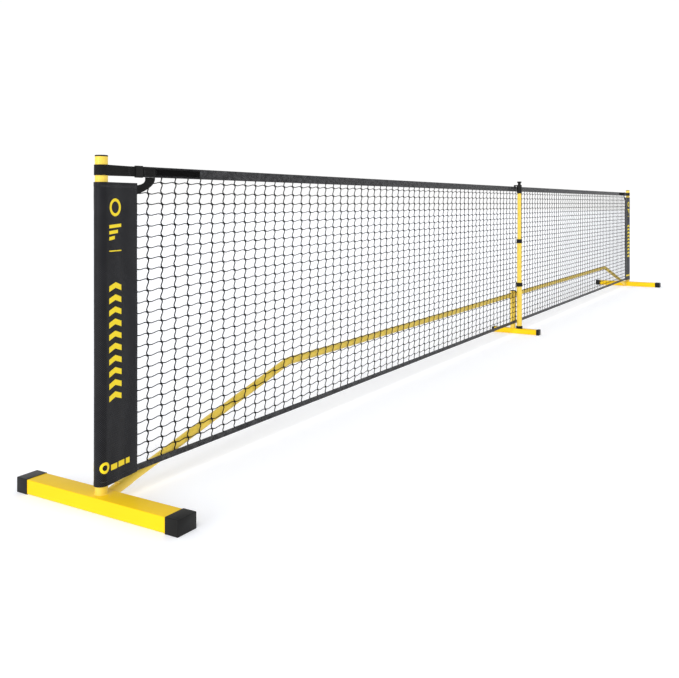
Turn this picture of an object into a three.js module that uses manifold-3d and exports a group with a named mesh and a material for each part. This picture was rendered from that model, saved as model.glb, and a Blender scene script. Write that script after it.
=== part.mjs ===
// Portable pickleball net: two end posts on long feet, a rail low behind the net, a centre stand
// and a knotted net with fabric sleeves. Millimetres, +Z up. The origin is on the floor in the
// middle of the net, +X runs along the net, and -Y is the front, where the net's face is seen.
import * as THREE from 'three';
import { mergeVertices } from 'three/addons/utils/BufferGeometryUtils.js';
import Module from 'manifold-3d';

const wasm = await Module();
wasm.setup();

// Driving dimensions
const HALF_SPAN = 3353; // centre of the net to a post's axis: 22 ft between the posts
const NET_TOP = 914; // 36 in, the top of the net at the posts
const GAP = 0.3; // between pieces that touch
const SLIDE_GAP = 0.4; // radial, between a tube and what slides on it
const ROUND = 24; // segments round a tube

const FOOT = { width: 66, height: 40, length: 600, wall: 2, corner: 3, capLength: 42 };
const CENTRE_FOOT = { width: 40, height: 30, length: 300, wall: 1.6, corner: 3, capLength: 16 };
const CAP = { lip: 1.2, endWall: 3 }; // moulded cap pushed over a foot's end
const FOOT_LIFT = CAP.lip + GAP; // the foot tube's underside, held off the floor by its caps

const POST = { radius: 17, wall: 1.8, top: 935, split: 300, ferruleHalf: 60 };
const RAIL = { radius: 13.8, wall: 1.5, y: 19, footZ: 20, elbowS: 890, z: 240, elbowRadius: 150 };
const SOCKET = { radius: 15.1, wall: 0.9, mouthS: 118, hold: 35 };
const RAIL_JOINTS = [1250, 2300]; // distances of the rail's two joints from the post's axis
const RAIL_FERRULE = { wall: 1.2, half: 50 };
const BUTTON = { radius: 3.5, hole: 4, proud: 3, inside: 6 };
const BRACE = { radius: 3.5, postZ: 80, socketS: 96 };

const SLEEVE = { bottom: 64, top: 867, edge: 128, thickness: 2, bore: 18, flatFrom: 118 };
const STRAP = { height: 28, thickness: 1.8, flatFrom: 92, tail: 150, flapEnd: 200 };
const SLIDER = { start: 122, length: 27, lip: 2.4, thickness: 1.6 };
const TAPE = { height: 30, halfThickness: 2 };
const BOTTOM_TAPE = { bottom: 65, height: 18 };
const PATCH = { end: 390, height: 23, thickness: 1.2 };
const NET_HALF_THICKNESS = 1;

const MAST_Y = -22; // the centre mast stands in front of the net
const LOWER_TUBE = { radius: 16, wall: 1.6, top: 300 };
const MIDDLE_TUBE = { radius: 14, wall: 1.6, bottom: 200, top: 570 };
const TOP_TUBE = { radius: 12, wall: 1.4, bottom: 470, top: 894 };
const COLLAR = { height: 24, overlap: 7, wall: 3 };
const TEE = { radius: 16, top: 262, reach: 70, bore: 14.4 };
const HOOK = { bottom: 872, block: 924, neck: 938, top: 946, flange: 13.5, neckRadius: 9, radius: 15 };

const YELLOW = { color: 0xf4d336, roughness: 0.35, metalness: 0.1 };
const BLACK_PLASTIC = { color: 0x2b2b2b, roughness: 0.55, metalness: 0 };
const WEBBING = { color: 0x26262a, roughness: 0.85, metalness: 0 };
const SLEEVE_FABRIC = { color: 0x3c3b3d, roughness: 0.8, metalness: 0 };
const CORD = { color: 0x18181a, roughness: 0.8, metalness: 0 };
const BARE_STEEL = { color: 0xb9bcc0, roughness: 0.3, metalness: 1 };

const group = new THREE.Group();

function addMesh(name, geometry, look) {
  const mesh = new THREE.Mesh(geometry, new THREE.MeshStandardMaterial(look));
  mesh.name = name;
  group.add(mesh);
}

// Booleans

function toSolid(geometry) {
  const bare = geometry.clone();
  bare.deleteAttribute('normal');
  bare.deleteAttribute('uv');
  const welded = mergeVertices(bare, 1e-4);
  return new wasm.Manifold(new wasm.Mesh({
    numProp: 3,
    vertProperties: new Float32Array(welded.attributes.position.array),
    triVerts: new Uint32Array(welded.index.array),
  }));
}

function toGeometry(solid) {
  const mesh = solid.getMesh();
  const geometry = new THREE.BufferGeometry();
  geometry.setAttribute('position', new THREE.BufferAttribute(new Float32Array(mesh.vertProperties), 3));
  geometry.setIndex(new THREE.BufferAttribute(new Uint32Array(mesh.triVerts), 1));
  geometry.computeVertexNormals();
  return geometry;
}

function joined(...geometries) {
  return toGeometry(geometries.map(toSolid).reduce((sum, next) => sum.add(next)));
}

function cut(geometry, ...tools) {
  return toGeometry(tools.map(toSolid).reduce((rest, tool) => rest.subtract(tool), toSolid(geometry)));
}

// Outlines and the solids made from them

// A full arc's outline gets two points for each division asked for
function circlePoints(radius) {
  return new THREE.Path().absarc(0, 0, radius, 0, 2 * Math.PI, false).getPoints(ROUND / 2);
}

function ring(radius, bore) {
  const shape = new THREE.Shape(circlePoints(radius));
  if (bore > 0) shape.holes.push(new THREE.Path(circlePoints(bore)));
  return shape;
}

function roundedRectangle(width, height, corner) {
  const x = width / 2 - corner;
  const y = height / 2 - corner;
  const quarter = Math.PI / 2;
  const shape = new THREE.Shape();
  shape.absarc(x, y, corner, 0, quarter);
  shape.absarc(-x, y, corner, quarter, 2 * quarter);
  shape.absarc(-x, -y, corner, 2 * quarter, 3 * quarter);
  shape.absarc(x, -y, corner, 3 * quarter, 4 * quarter);
  return shape;
}

function extrudeUp(shape, bottom, top) {
  const solid = new THREE.ExtrudeGeometry(shape, {
    depth: top - bottom, bevelEnabled: false, curveSegments: 2,
  });
  return solid.translate(0, 0, bottom);
}

// An outline drawn in X and Z, with its thickness along Y
function extrudeAlongY(shape, front, back) {
  return extrudeUp(shape, 0, back - front).rotateX(Math.PI / 2).translate(0, back, 0);
}

// An outline drawn in Y and Z, with its thickness along X
function extrudeAlongX(shape, low, high) {
  const turn = new THREE.Matrix4().makeBasis(
    new THREE.Vector3(0, 1, 0),
    new THREE.Vector3(0, 0, 1),
    new THREE.Vector3(1, 0, 0),
  );
  return extrudeUp(shape, low, high).applyMatrix4(turn);
}

function tubeBetween(start, end, radius, bore = 0) {
  const run = end.clone().sub(start);
  const solid = extrudeUp(ring(radius, bore), 0, run.length());
  const up = new THREE.Vector3(0, 0, 1);
  solid.applyQuaternion(new THREE.Quaternion().setFromUnitVectors(up, run.normalize()));
  return solid.translate(start.x, start.y, start.z);
}

function verticalTube(x, y, bottom, top, radius, bore = 0) {
  return extrudeUp(ring(radius, bore), bottom, top).translate(x, y, 0);
}

function box(low, high) {
  const size = high.map((value, i) => value - low[i]);
  const middle = high.map((value, i) => (value + low[i]) / 2);
  return new THREE.BoxGeometry(...size).translate(...middle);
}

// A turned piece on a vertical axis, from its half outline in radius and height
function turned(profile, x, y) {
  const points = profile.map(([radius, height]) => new THREE.Vector2(radius, height));
  return new THREE.LatheGeometry(points, ROUND).rotateX(Math.PI / 2).translate(x, y, 0);
}

// A path whose stations are kept as given, so that a bend gets all the steps
class StationPath extends THREE.Curve {
  constructor(stations) {
    super();
    this.stations = stations;
  }

  getPoint(t) {
    const place = Math.min(Math.max(t, 0), 1) * (this.stations.length - 1);
    const index = Math.min(Math.floor(place), this.stations.length - 2);
    return this.stations[index].clone().lerp(this.stations[index + 1], place - index);
  }

  getPointAt(u) {
    return this.getPoint(u);
  }

  getTangentAt(u) {
    return this.getTangent(u);
  }

  getSpacedPoints() {
    return this.stations.map((station) => station.clone());
  }
}

// Places along one half of the net: s runs from the post's axis towards the centre

function xAt(side, s) {
  return side * (HALF_SPAN - s);
}

function railSlope() {
  return (RAIL.z - RAIL.footZ) / (RAIL.elbowS - FOOT.width / 2);
}

function railZAt(s) {
  return Math.min(RAIL.footZ + (s - FOOT.width / 2) * railSlope(), RAIL.z);
}

function railPoint(side, s) {
  return new THREE.Vector3(xAt(side, s), RAIL.y, railZAt(s));
}

// Feet

function makeFoot(prefix, x, foot) {
  const middle = FOOT_LIFT + foot.height / 2;
  const half = foot.length / 2 - CAP.endWall - GAP;
  const section = roundedRectangle(foot.width, foot.height, foot.corner);
  section.holes.push(roundedRectangle(
    foot.width - 2 * foot.wall, foot.height - 2 * foot.wall, foot.corner - foot.wall / 2,
  ));
  addMesh(`${prefix}_foot_tube`, extrudeAlongY(section, -half, half).translate(x, 0, middle), YELLOW);
  for (const [end, direction] of [['front', -1], ['back', 1]]) {
    addMesh(`${prefix}_foot_cap_${end}`, makeFootCap(foot, direction).translate(x, 0, middle), BLACK_PLASTIC);
  }
}

function makeFootCap(foot, direction) {
  const grow = 2 * (CAP.lip + GAP);
  const outer = roundedRectangle(foot.width + grow, foot.height + grow, foot.corner + CAP.lip);
  const inner = roundedRectangle(foot.width + 2 * GAP, foot.height + 2 * GAP, foot.corner);
  const end = foot.length / 2;
  const alongY = (shape, near, far) => extrudeAlongY(
    shape, Math.min(direction * near, direction * far), Math.max(direction * near, direction * far),
  );
  const mouth = end - foot.capLength;
  return cut(alongY(outer, mouth, end), alongY(inner, mouth - 1, end - CAP.endWall));
}

const footTop = FOOT_LIFT + FOOT.height + GAP;
const centreFootTop = FOOT_LIFT + CENTRE_FOOT.height + GAP;

// End posts: a stub welded on the foot, an inner ferrule, and the post that lifts off it

function makePost(name, side) {
  const x = xAt(side, 0);
  const bore = POST.radius - POST.wall;
  const ferrule = bore - SLIDE_GAP;
  addMesh(`${name}_post_stub`, verticalTube(x, 0, footTop, POST.split, POST.radius, bore), YELLOW);
  addMesh(
    `${name}_post_ferrule`,
    verticalTube(x, 0, POST.split - POST.ferruleHalf, POST.split + POST.ferruleHalf, ferrule, ferrule - 1.5),
    BARE_STEEL,
  );
  addMesh(`${name}_post_tube`, verticalTube(x, 0, POST.split + GAP, POST.top, POST.radius, bore), YELLOW);
  const flange = POST.top + GAP;
  const profile = [
    [0, flange - 15],
    [ferrule, flange - 15],
    [ferrule, flange],
    [POST.radius + 0.3, flange],
    [POST.radius + 0.3, flange + 2.4],
    [POST.radius - 1, flange + 3.7],
    [0, flange + 3.7],
  ];
  addMesh(`${name}_post_cap`, turned(profile, x, 0), BLACK_PLASTIC);
}

// Rails: socket on the foot, bent rail, two straight rails and the ferrules between them

function buttonHole(centre) {
  const end = centre.clone().setY(centre.y + 2 * SOCKET.radius);
  return tubeBetween(centre, end, BUTTON.hole);
}

function makeButton(name, centre, surface) {
  const tip = surface + BUTTON.proud;
  const profile = [
    [0, surface - BUTTON.inside],
    [BUTTON.radius, surface - BUTTON.inside],
    [BUTTON.radius, tip - 1.4],
    [BUTTON.radius * 0.75, tip - 0.4],
    [0, tip],
  ];
  const solid = turned(profile, 0, 0).rotateX(-Math.PI / 2);
  addMesh(name, solid.translate(centre.x, centre.y, centre.z), BARE_STEEL);
}

function makeBentRailPath(side, startS, endS) {
  const angle = Math.atan(railSlope());
  const trim = RAIL.elbowRadius * Math.tan(angle / 2);
  const stations = [railPoint(side, startS)];
  const steps = 4;
  const centre = { s: RAIL.elbowS + trim, z: RAIL.z - RAIL.elbowRadius };
  for (let i = 0; i <= steps; i += 1) {
    const turn = angle * (1 - i / steps);
    const s = centre.s - RAIL.elbowRadius * Math.sin(turn);
    const z = centre.z + RAIL.elbowRadius * Math.cos(turn);
    stations.push(new THREE.Vector3(xAt(side, s), RAIL.y, z));
  }
  stations.push(railPoint(side, endS));
  return new StationPath(stations);
}

function makeRails(name, side) {
  const bore = RAIL.radius - RAIL.wall;
  const socketBore = SOCKET.radius - SOCKET.wall;
  const [outerJoint, innerJoint] = RAIL_JOINTS;

  const socketButton = railPoint(side, SOCKET.mouthS - SOCKET.hold / 2);
  const footBlock = box(
    [Math.min(xAt(side, -100), xAt(side, FOOT.width / 2 + GAP)), -100, -100],
    [Math.max(xAt(side, -100), xAt(side, FOOT.width / 2 + GAP)), 100, 100],
  );
  const socketTube = tubeBetween(
    railPoint(side, 0), railPoint(side, SOCKET.mouthS), SOCKET.radius, socketBore,
  );
  addMesh(`${name}_rail_socket`, cut(socketTube, footBlock, buttonHole(socketButton)), YELLOW);
  makeButton(`${name}_socket_button`, socketButton, SOCKET.radius);

  const path = makeBentRailPath(side, SOCKET.mouthS - SOCKET.hold, outerJoint);
  const bent = new THREE.ExtrudeGeometry(ring(RAIL.radius, bore), {
    steps: path.stations.length - 1, bevelEnabled: false, extrudePath: path,
  });
  addMesh(`${name}_bent_rail`, cut(bent, buttonHole(socketButton)), YELLOW);

  const railButton = railPoint(side, outerJoint + RAIL_FERRULE.half / 2);
  const middle = tubeBetween(
    railPoint(side, outerJoint + GAP), railPoint(side, innerJoint), RAIL.radius, bore,
  );
  addMesh(`${name}_middle_rail`, cut(middle, buttonHole(railButton)), YELLOW);
  makeButton(`${name}_rail_button`, railButton, RAIL.radius);

  const end = HALF_SPAN - TEE.reach + SOCKET.hold;
  addMesh(
    `${name}_inner_rail`,
    tubeBetween(railPoint(side, innerJoint + GAP), railPoint(side, end), RAIL.radius, bore),
    YELLOW,
  );
  const ferrule = bore - GAP;
  for (const [place, joint] of [['outer', outerJoint], ['inner', innerJoint]]) {
    const plain = tubeBetween(
      railPoint(side, joint - RAIL_FERRULE.half), railPoint(side, joint + RAIL_FERRULE.half),
      ferrule, ferrule - RAIL_FERRULE.wall,
    );
    const solid = place === 'outer' ? cut(plain, buttonHole(railButton)) : plain;
    addMesh(`${name}_${place}_ferrule`, solid, BARE_STEEL);
  }
}

// A thin rod that braces the post stub against the rail socket
function makeBrace(name, side) {
  const top = new THREE.Vector3(xAt(side, 0), 0, BRACE.postZ);
  const bottom = railPoint(side, BRACE.socketS);
  const stub = verticalTube(xAt(side, 0), 0, 0, POST.split, POST.radius + GAP);
  const socket = tubeBetween(railPoint(side, -50), railPoint(side, 300), SOCKET.radius + GAP);
  addMesh(`${name}_brace_rod`, cut(tubeBetween(top, bottom, BRACE.radius), stub, socket), YELLOW);
}

// Fabric and webbing at each end

// The outline of a band round the post whose two sides close to a flat tail: an arc behind
// the post, and straight sides that meet the tail. It always runs anticlockwise.
function bandOutline(side, radius, tailFrom, tailTo, halfTail) {
  const reach = Math.hypot(tailFrom, halfTail);
  const lean = Math.acos(radius / reach) + Math.atan2(halfTail, tailFrom);
  const steps = 16;
  const points = [];
  for (let i = 0; i <= steps; i += 1) {
    const turn = lean + (2 * Math.PI - 2 * lean) * (i / steps);
    points.push([radius * Math.cos(turn), radius * Math.sin(turn)]);
  }
  points.push([tailFrom, -halfTail]);
  if (tailTo > tailFrom) points.push([tailTo, -halfTail], [tailTo, halfTail]);
  points.push([tailFrom, halfTail]);
  const outline = points.map(([s, y]) => new THREE.Vector2(xAt(side, s), y));
  return new THREE.Shape(side > 0 ? outline.reverse() : outline);
}

function makeSleeve(name, side) {
  const shape = bandOutline(
    side, SLEEVE.bore + SLEEVE.thickness, SLEEVE.flatFrom, SLEEVE.edge, SLEEVE.thickness,
  );
  shape.holes.push(bandOutline(side, SLEEVE.bore, SLEEVE.flatFrom - 6, SLEEVE.flatFrom - 6, 0.2));
  addMesh(`${name}_sleeve`, extrudeUp(shape, SLEEVE.bottom, SLEEVE.top), SLEEVE_FABRIC);
}

function makeStraps(name, side) {
  const bore = POST.radius + SLIDE_GAP;
  const middle = NET_TOP - TAPE.height / 2;
  const bottom = middle - STRAP.height / 2;
  const top = middle + STRAP.height / 2;
  const shape = bandOutline(side, bore + STRAP.thickness, STRAP.flatFrom, STRAP.tail, STRAP.thickness);
  shape.holes.push(bandOutline(side, bore, STRAP.flatFrom - 6, STRAP.flatFrom - 6, 0.2));
  addMesh(`${name}_end_strap`, extrudeUp(shape, bottom, top), WEBBING);

  const depth = 2 * (STRAP.thickness + GAP);
  const slider = roundedRectangle(
    depth + 2 * SLIDER.thickness, STRAP.height + 2 * GAP + 2 * SLIDER.lip, 1,
  );
  slider.holes.push(roundedRectangle(depth, STRAP.height + 2 * GAP, 0.4));
  const ends = [xAt(side, SLIDER.start), xAt(side, SLIDER.start + SLIDER.length)];
  addMesh(
    `${name}_strap_slider`,
    extrudeAlongX(slider, Math.min(...ends), Math.max(...ends)).translate(0, 0, middle),
    BLACK_PLASTIC,
  );

  const flapBack = -TAPE.halfThickness - GAP;
  const flap = new THREE.Shape([
    new THREE.Vector2(xAt(side, STRAP.tail + GAP), bottom),
    new THREE.Vector2(xAt(side, STRAP.flapEnd), bottom),
    new THREE.Vector2(xAt(side, STRAP.flapEnd - 4), top),
    new THREE.Vector2(xAt(side, STRAP.tail + GAP), top),
  ]);
  addMesh(`${name}_strap_flap`, extrudeAlongY(flap, flapBack - STRAP.thickness, flapBack), WEBBING);

  const patch = [xAt(side, STRAP.flapEnd + GAP), xAt(side, PATCH.end)];
  addMesh(
    `${name}_loop_patch`,
    box(
      [Math.min(...patch), flapBack - PATCH.thickness, middle - PATCH.height / 2],
      [Math.max(...patch), flapBack, middle + PATCH.height / 2],
    ),
    WEBBING,
  );
}

// Short webbing from the sleeve's top corner up to the end of the top tape
function makeCornerStrap(name, side) {
  const tapeBottom = NET_TOP - TAPE.height - GAP;
  const x = (s) => xAt(side, s);
  const shape = new THREE.Shape();
  shape.moveTo(x(SLEEVE.edge + GAP), 835);
  shape.quadraticCurveTo(x(196), 856, x(199), tapeBottom);
  shape.lineTo(x(160), tapeBottom);
  shape.quadraticCurveTo(x(160), 864, x(SLEEVE.edge + GAP), 861);
  addMesh(`${name}_corner_strap`, extrudeAlongY(shape, -1, 1), WEBBING);
}

// Net and its tapes

function makeNet() {
  const low = BOTTOM_TAPE.bottom + BOTTOM_TAPE.height + GAP;
  const high = NET_TOP - TAPE.height - GAP;
  const corner = [
    [SLEEVE.edge + GAP, low],
    [SLEEVE.edge + GAP, 825],
    [186, 843],
    [203, high],
  ];
  const half = (side) => corner.map(([s, z]) => new THREE.Vector2(xAt(side, s), z));
  const shape = new THREE.Shape([...half(-1), ...half(1).reverse()]);
  addMesh('net_mesh', extrudeAlongY(shape, -NET_HALF_THICKNESS, NET_HALF_THICKNESS), CORD);

  const topEnd = HALF_SPAN - STRAP.tail - GAP;
  addMesh(
    'top_tape',
    box([-topEnd, -TAPE.halfThickness, NET_TOP - TAPE.height], [topEnd, TAPE.halfThickness, NET_TOP]),
    WEBBING,
  );
  const bottomEnd = HALF_SPAN - SLEEVE.edge - GAP;
  const bottomTop = BOTTOM_TAPE.bottom + BOTTOM_TAPE.height;
  addMesh(
    'bottom_tape',
    box([-bottomEnd, -TAPE.halfThickness, BOTTOM_TAPE.bottom], [bottomEnd, TAPE.halfThickness, bottomTop]),
    WEBBING,
  );
}

// Centre stand

function makeTee() {
  const bottom = centreFootTop;
  const left = new THREE.Vector3(-TEE.reach, RAIL.y, RAIL.z);
  const right = new THREE.Vector3(TEE.reach, RAIL.y, RAIL.z);
  const stub = verticalTube(0, RAIL.y, bottom, TEE.top, TEE.radius);
  const arms = tubeBetween(left, right, SOCKET.radius);
  const bores = [-1, 1].map((side) => {
    const inner = new THREE.Vector3(side * (TEE.radius + 4), RAIL.y, RAIL.z);
    const outer = new THREE.Vector3(side * (TEE.reach + 1), RAIL.y, RAIL.z);
    return tubeBetween(inner, outer, TEE.bore);
  });
  const hollow = verticalTube(0, RAIL.y, bottom - 1, RAIL.z - 30, TEE.radius - 1.6);
  addMesh('centre_tee', cut(joined(stub, arms), hollow, ...bores), YELLOW);
  const capProfile = [
    [0, TEE.top + GAP],
    [TEE.radius, TEE.top + GAP],
    [TEE.radius, TEE.top + 3],
    [TEE.radius - 2, TEE.top + 5],
    [0, TEE.top + 5],
  ];
  addMesh('centre_tee_cap', turned(capProfile, 0, RAIL.y), BLACK_PLASTIC);
}

// A twist-lock collar: its wider bore holds the outer tube, its narrower one grips the inner
function makeCollar(name, joint, outerTube, innerTube) {
  const wide = outerTube + SLIDE_GAP;
  const narrow = innerTube + SLIDE_GAP;
  const outside = wide + COLLAR.wall;
  const bottom = joint - COLLAR.overlap;
  const top = bottom + COLLAR.height;
  const profile = [
    [wide, bottom],
    [outside, bottom],
    [outside, top - 1.5],
    [outside - 1.5, top],
    [narrow, top],
    [narrow, joint + GAP],
    [wide, joint + GAP],
    [wide, bottom],
  ];
  addMesh(name, turned(profile, 0, MAST_Y), BLACK_PLASTIC);
}

function makeMast() {
  const tube = (name, radius, wall, bottom, top) => addMesh(
    name, verticalTube(0, MAST_Y, bottom, top, radius, radius - wall), YELLOW,
  );
  tube('mast_lower_tube', LOWER_TUBE.radius, LOWER_TUBE.wall, centreFootTop, LOWER_TUBE.top);
  tube('mast_middle_tube', MIDDLE_TUBE.radius, MIDDLE_TUBE.wall, MIDDLE_TUBE.bottom, MIDDLE_TUBE.top);
  tube('mast_top_tube', TOP_TUBE.radius, TOP_TUBE.wall, TOP_TUBE.bottom, TOP_TUBE.top);
  makeCollar('lower_collar', LOWER_TUBE.top, LOWER_TUBE.radius, MIDDLE_TUBE.radius);
  makeCollar('upper_collar', MIDDLE_TUBE.top, MIDDLE_TUBE.radius, TOP_TUBE.radius);
  const ringBore = LOWER_TUBE.radius + GAP;
  addMesh('mast_base_ring', verticalTube(0, MAST_Y, centreFootTop, 48, ringBore + 3, ringBore), BLACK_PLASTIC);
}

// The cap on the mast: a block in front of the top tape, a bridge over it and a leg behind it
function makeHook() {
  const block = verticalTube(0, MAST_Y, HOOK.bottom, HOOK.block, HOOK.radius);
  const bridge = box([-11, MAST_Y, NET_TOP + 3], [11, 10, HOOK.block]);
  const leg = box([-11, 4, NET_TOP - 28], [11, 10, NET_TOP + 4]);
  const neck = verticalTube(0, MAST_Y, HOOK.block - 1, HOOK.neck + 1, HOOK.neckRadius);
  const flange = verticalTube(0, MAST_Y, HOOK.neck, HOOK.top, HOOK.flange);
  const bore = verticalTube(0, MAST_Y, HOOK.bottom - 1, TOP_TUBE.top + GAP, TOP_TUBE.radius + GAP);
  addMesh('mast_hook', cut(joined(block, bridge, leg, neck, flange), bore), BLACK_PLASTIC);
}

for (const [name, side] of [['left', -1], ['right', 1]]) {
  makeFoot(name, xAt(side, 0), FOOT);
  makePost(name, side);
  makeRails(name, side);
  makeBrace(name, side);
  makeSleeve(name, side);
  makeStraps(name, side);
  makeCornerStrap(name, side);
}
makeFoot('centre', 0, CENTRE_FOOT);
makeTee();
makeMast();
makeHook();
makeNet();

export default group;
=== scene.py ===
from math import acos, atan, atan2, cos, exp, hypot, pi, radians, sin, tan

import bpy
import numpy as np
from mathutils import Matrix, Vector


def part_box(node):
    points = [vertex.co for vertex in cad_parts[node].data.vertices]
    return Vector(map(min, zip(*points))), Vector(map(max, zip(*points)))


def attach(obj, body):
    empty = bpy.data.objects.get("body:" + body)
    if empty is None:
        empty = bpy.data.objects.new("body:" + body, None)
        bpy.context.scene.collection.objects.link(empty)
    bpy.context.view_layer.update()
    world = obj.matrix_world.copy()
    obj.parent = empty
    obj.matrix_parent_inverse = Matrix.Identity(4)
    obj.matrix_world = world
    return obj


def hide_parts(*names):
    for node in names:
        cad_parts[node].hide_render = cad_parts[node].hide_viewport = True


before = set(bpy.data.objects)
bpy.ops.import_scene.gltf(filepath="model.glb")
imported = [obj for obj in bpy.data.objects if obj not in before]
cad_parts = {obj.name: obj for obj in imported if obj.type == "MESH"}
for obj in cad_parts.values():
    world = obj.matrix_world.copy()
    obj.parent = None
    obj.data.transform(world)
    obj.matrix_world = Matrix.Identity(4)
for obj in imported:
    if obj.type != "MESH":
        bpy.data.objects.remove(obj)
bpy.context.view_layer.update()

# Looks for a portable pickleball net. Metres, in the CAD's frame: +X along the net, +Z up, and -Y
# the front. Places and sizes come from the CAD nodes' boxes; the fabric, cords, seams and
# rounded edges are made here.

MM = 0.001
SIDES = (("left", -1), ("right", 1))
X, Y, Z = Vector((1, 0, 0)), Vector((0, 1, 0)), Vector((0, 0, 1))


def box_centre(node):
    low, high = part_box(node)
    return (low + high) / 2


def middle_and_half(node):
    low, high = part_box(node)
    return (low + high) / 2, (high - low) / 2


def post_x(name):
    return box_centre(f"{name}_post_tube").x


HALF_SPAN = post_x("right")


def x_at(side, s):
    """The X of a point a distance s from an end post's axis, towards the middle of the net."""
    return side * (HALF_SPAN - s)


# ---- camera

camera_data = bpy.data.cameras.new("camera")
camera = bpy.data.objects.new("camera", camera_data)
bpy.context.scene.collection.objects.link(camera)
camera.location = (-4.843, -1.636, 0.811)
VIEW_YAW = radians(31.1)  # from +X towards +Y
camera.rotation_euler = (radians(90), 0, VIEW_YAW - radians(90))
camera_data.sensor_width = 36
camera_data.lens = 42.415
camera_data.shift_y = -0.2  # looks down a little and keeps the posts upright
bpy.context.scene.camera = camera


# ---- materials

def set_stops(ramp, stops):
    for element, (position, colour) in zip(ramp.color_ramp.elements, stops):
        element.position = position
        element.color = (*colour, 1)


class Nodes:
    """A material's node tree, with short calls for the nodes used here."""

    def __init__(self, name):
        self.material = bpy.data.materials.new(name)
        self.material.use_nodes = True
        self.tree = self.material.node_tree
        self.shader = self.tree.nodes["Principled BSDF"]

    def add(self, kind, **settings):
        node = self.tree.nodes.new(kind)
        for key, value in settings.items():
            setattr(node, key, value)
        return node

    def link(self, output, socket):
        self.tree.links.new(output, socket)

    def place(self, attribute=None):
        """Where a point is: in the piece's own cloth coordinates, or in the object's space."""
        if attribute:
            return self.add("ShaderNodeAttribute", attribute_name=attribute).outputs["Vector"]
        return self.add("ShaderNodeTexCoord").outputs["Object"]

    def scaled(self, vector, scale):
        node = self.add("ShaderNodeVectorMath", operation="MULTIPLY")
        self.link(vector, node.inputs[0])
        node.inputs[1].default_value = scale
        return node.outputs["Vector"]

    def noise(self, vector, scale, detail=2.0):
        node = self.add("ShaderNodeTexNoise")
        node.inputs["Scale"].default_value = scale
        node.inputs["Detail"].default_value = detail
        self.link(vector, node.inputs["Vector"])
        return node.outputs["Fac"]

    def math(self, operation, first, second=0.0):
        node = self.add("ShaderNodeMath", operation=operation)
        for socket, value in zip(node.inputs, (first, second)):
            if isinstance(value, (int, float)):
                socket.default_value = value
            else:
                self.link(value, socket)
        return node.outputs[0]

    def ramp(self, value, stops):
        node = self.add("ShaderNodeValToRGB")
        set_stops(node, stops)
        self.link(value, node.inputs["Fac"])
        return node.outputs["Color"]

    def spread(self, value, low, high):
        node = self.add("ShaderNodeMapRange")
        node.inputs["To Min"].default_value = low
        node.inputs["To Max"].default_value = high
        self.link(value, node.inputs["Value"])
        return node.outputs["Result"]

    def bump(self, height, strength, distance):
        node = self.add("ShaderNodeBump")
        node.inputs["Strength"].default_value = strength
        node.inputs["Distance"].default_value = distance
        self.link(height, node.inputs["Height"])
        self.link(node.outputs["Normal"], self.shader.inputs["Normal"])

    def colour(self, value, *stops):
        self.link(self.ramp(value, stops), self.shader.inputs["Base Color"])

    def roughness(self, value, low, high):
        self.link(self.spread(value, low, high), self.shader.inputs["Roughness"])

    def set(self, **values):
        for key, value in values.items():
            self.shader.inputs[key.replace("_", " ")].default_value = value


def shade(colour, factor):
    return tuple(channel * factor for channel in colour)


def make_paint(name, yellow, gloss):
    """Yellow powder coat: a faint orange peel and slow colour drift."""
    n = Nodes(name)
    place = n.place()
    n.colour(n.noise(place, 7), (0.3, shade(yellow, 0.95)), (0.7, yellow))
    n.roughness(n.noise(place, 40, 4), 0.30, 0.42)
    n.set(Specular_IOR_Level=gloss)
    n.bump(n.noise(place, 420, 3), 0.08, 0.4 * MM)
    return n.material


def make_plastic():
    """Moulded black plastic with a fine satin grain."""
    n = Nodes("moulded_black_plastic")
    black = (0.012, 0.012, 0.0115)
    place = n.place()
    n.colour(n.noise(place, 25), (0.3, shade(black, 0.8)), (0.7, shade(black, 1.15)))
    n.roughness(n.noise(place, 300), 0.36, 0.5)
    n.set(Specular_IOR_Level=0.11)
    n.bump(n.noise(place, 1500, 2), 0.25, 0.15 * MM)
    return n.material


def make_steel():
    """Plated steel, brushed round the tube."""
    n = Nodes("plated_steel")
    place = n.place()
    n.colour(n.noise(place, 30), (0.3, (0.50, 0.50, 0.52)), (0.7, (0.62, 0.62, 0.64)))
    n.roughness(n.noise(n.scaled(place, (60, 60, 900)), 1), 0.25, 0.42)
    n.set(Metallic=1.0)
    n.bump(n.noise(n.scaled(place, (60, 60, 1400)), 1), 0.08, 0.1 * MM)
    return n.material


def weave_height(n, pitch_u, pitch_v, twill):
    """The height of woven threads from a piece's cloth coordinates, from 0 to 1.

    twill slants the rows: each thread across starts a share of a pitch further along."""
    split = n.add("ShaderNodeSeparateXYZ")
    n.link(n.place("cloth"), split.inputs[0])
    across = n.math("MULTIPLY", split.outputs["Y"], 2 * pi / pitch_v)
    along = n.math("MULTIPLY", split.outputs["X"], 2 * pi / pitch_u)
    along = n.math("ADD", along, n.math("MULTIPLY", across, twill))
    wave = n.math("MULTIPLY", n.math("SINE", along), n.math("SINE", across))
    return n.math("ADD", n.math("MULTIPLY", wave, 0.5), 0.5)


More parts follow.
